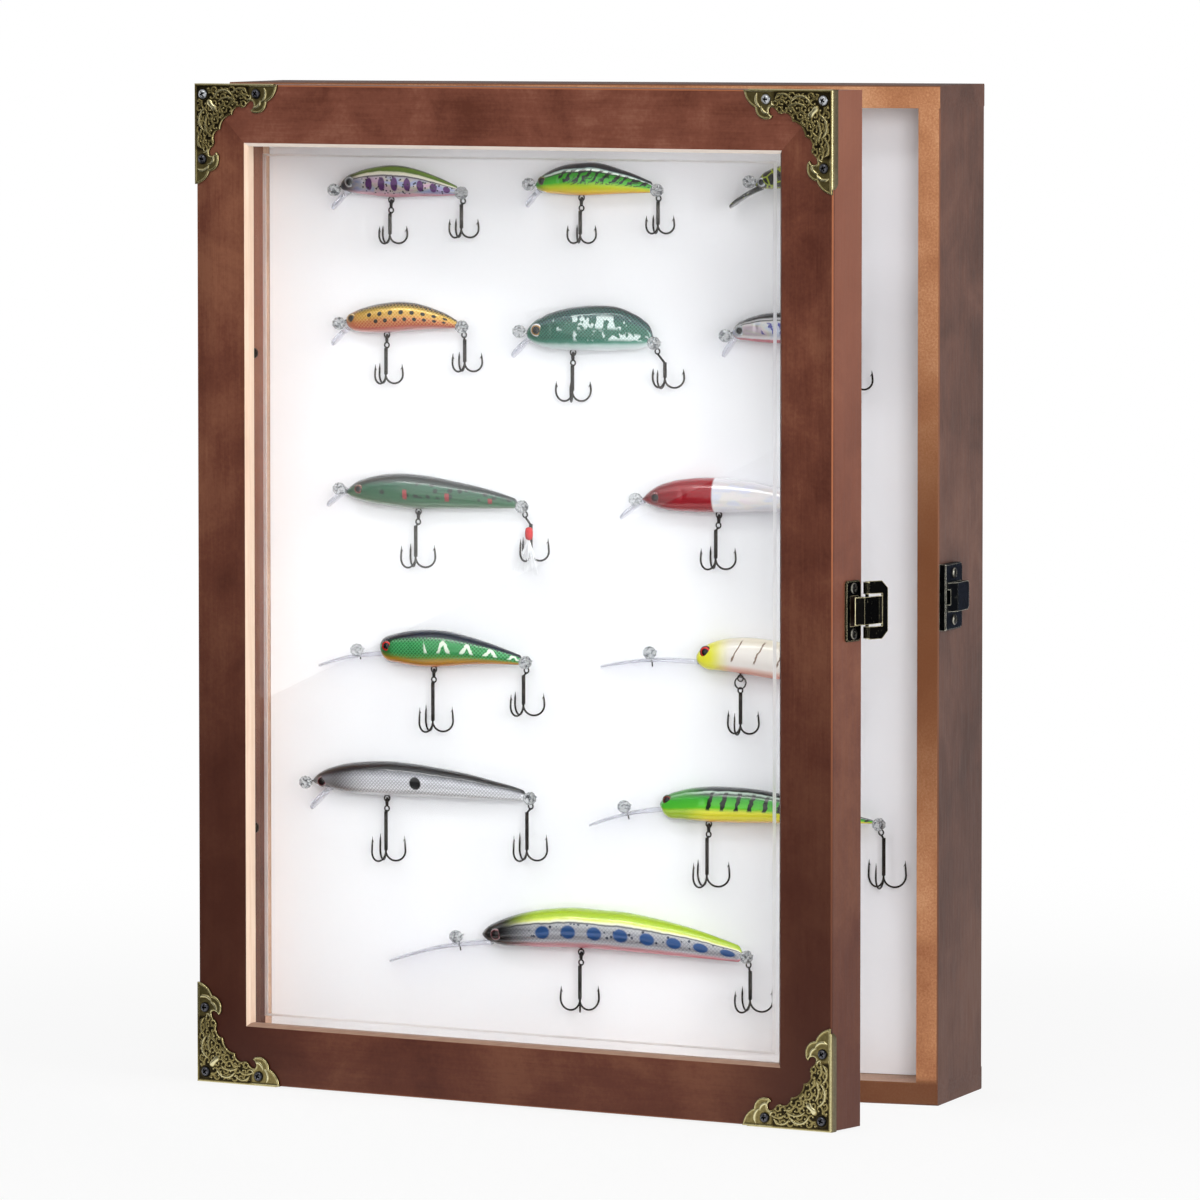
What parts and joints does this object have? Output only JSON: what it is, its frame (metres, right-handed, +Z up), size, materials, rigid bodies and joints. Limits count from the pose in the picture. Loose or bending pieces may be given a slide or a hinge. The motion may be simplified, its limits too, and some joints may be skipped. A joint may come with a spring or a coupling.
{
  "type": "fishing lure display case",
  "caption": "Shallow wooden display case with a hinged, glazed door, brass corners and a side snap latch; fishing lures are pinned to a white board inside.",
  "frame": {"origin": "centre of the case's underside, where it rests", "axes": "-Y out of the front, +X to the latch side (the viewer's right), +Z up"},
  "size_m": [0.3138, 0.1559, 0.406],
  "materials": {
    "case_wood": "stained pine, satin, open grain",
    "door_wood": "dark red-brown stained pine, satin",
    "batten_wood": "bare pine",
    "hardboard": "smooth brown hardboard",
    "white_board": "matt white foam board",
    "antique_brass": "antiqued, dark in the hollows and bright on the edges",
    "hinge_brass": "plain brushed",
    "dark_bronze": "dark bronze plate rubbed bright on the edges",
    "black_steel": "blackened, polished",
    "zinc_steel": "bright zinc",
    "glass": "clear float glass, ground edge",
    "clear_plastic": "clear",
    "lure_paint": "painted and clear coated"
  },
  "bodies": {
    "case": {"case_left_side": "case_wood", "case_right_side": "case_wood", "case_top": "case_wood", "case_bottom": "case_wood", "back_panel": "hardboard", "back_panel_screws": "zinc_steel", "board_battens": "batten_wood", "display_board": "white_board", "wall_hangers": "zinc_steel", "hanger_nails": "zinc_steel", "hinge_case_leaves": "hinge_brass", "hinge_pins": "hinge_brass", "hinge_case_screws": "hinge_brass", "keeper": "dark_bronze", "keeper_screws": "black_steel", "lure_silver_minnow": "lure_paint", "lure_green_shiner": "lure_paint", "lure_black_crackle": "lure_paint", "lure_gold_trout": "lure_paint", "lure_humpback": "lure_paint", "lure_red_belly": "lure_paint", "lure_feather_tail": "lure_paint", "lure_red_head": "lure_paint", "lure_orange_belly": "lure_paint", "lure_chartreuse_head": "lure_paint", "lure_silver_scale": "lure_paint", "lure_barred_minnow": "lure_paint", "lure_long_minnow": "lure_paint", "lure_pins": "clear_plastic"},
    "door": {"door_left_stile": "door_wood", "door_right_stile": "door_wood", "door_top_rail": "door_wood", "door_bottom_rail": "door_wood", "glass_pane": "glass", "glass_points": "black_steel", "corner_top_left": "antique_brass", "corner_top_right": "antique_brass", "corner_bottom_left": "antique_brass", "corner_bottom_right": "antique_brass", "corner_screws": "black_steel", "hinge_door_leaves": "hinge_brass", "hinge_door_screws": "hinge_brass", "latch_base": "dark_bronze", "latch_screws": "black_steel", "latch_pin": "dark_bronze", "latch_spring": "zinc_steel"},
    "latch": {"latch_lever": "dark_bronze"}
  },
  "joints": [
    {"name": "door_swing", "type": "hinge", "parent": "case", "child": "door", "pos_m": [-0.1532, -0.0305, 0.203], "axis": [0, 0, -1], "range_deg": [-13.7, 166.3]},
    {"name": "latch_rock", "type": "hinge", "parent": "door", "child": "latch", "pos_m": [0.14471, -0.10425, 0.203], "axis": [0, 0, -1], "range_deg": [0, 15], "stiffness_Nm_per_rad": 0.12, "springref_deg": -17.19}
  ]
}
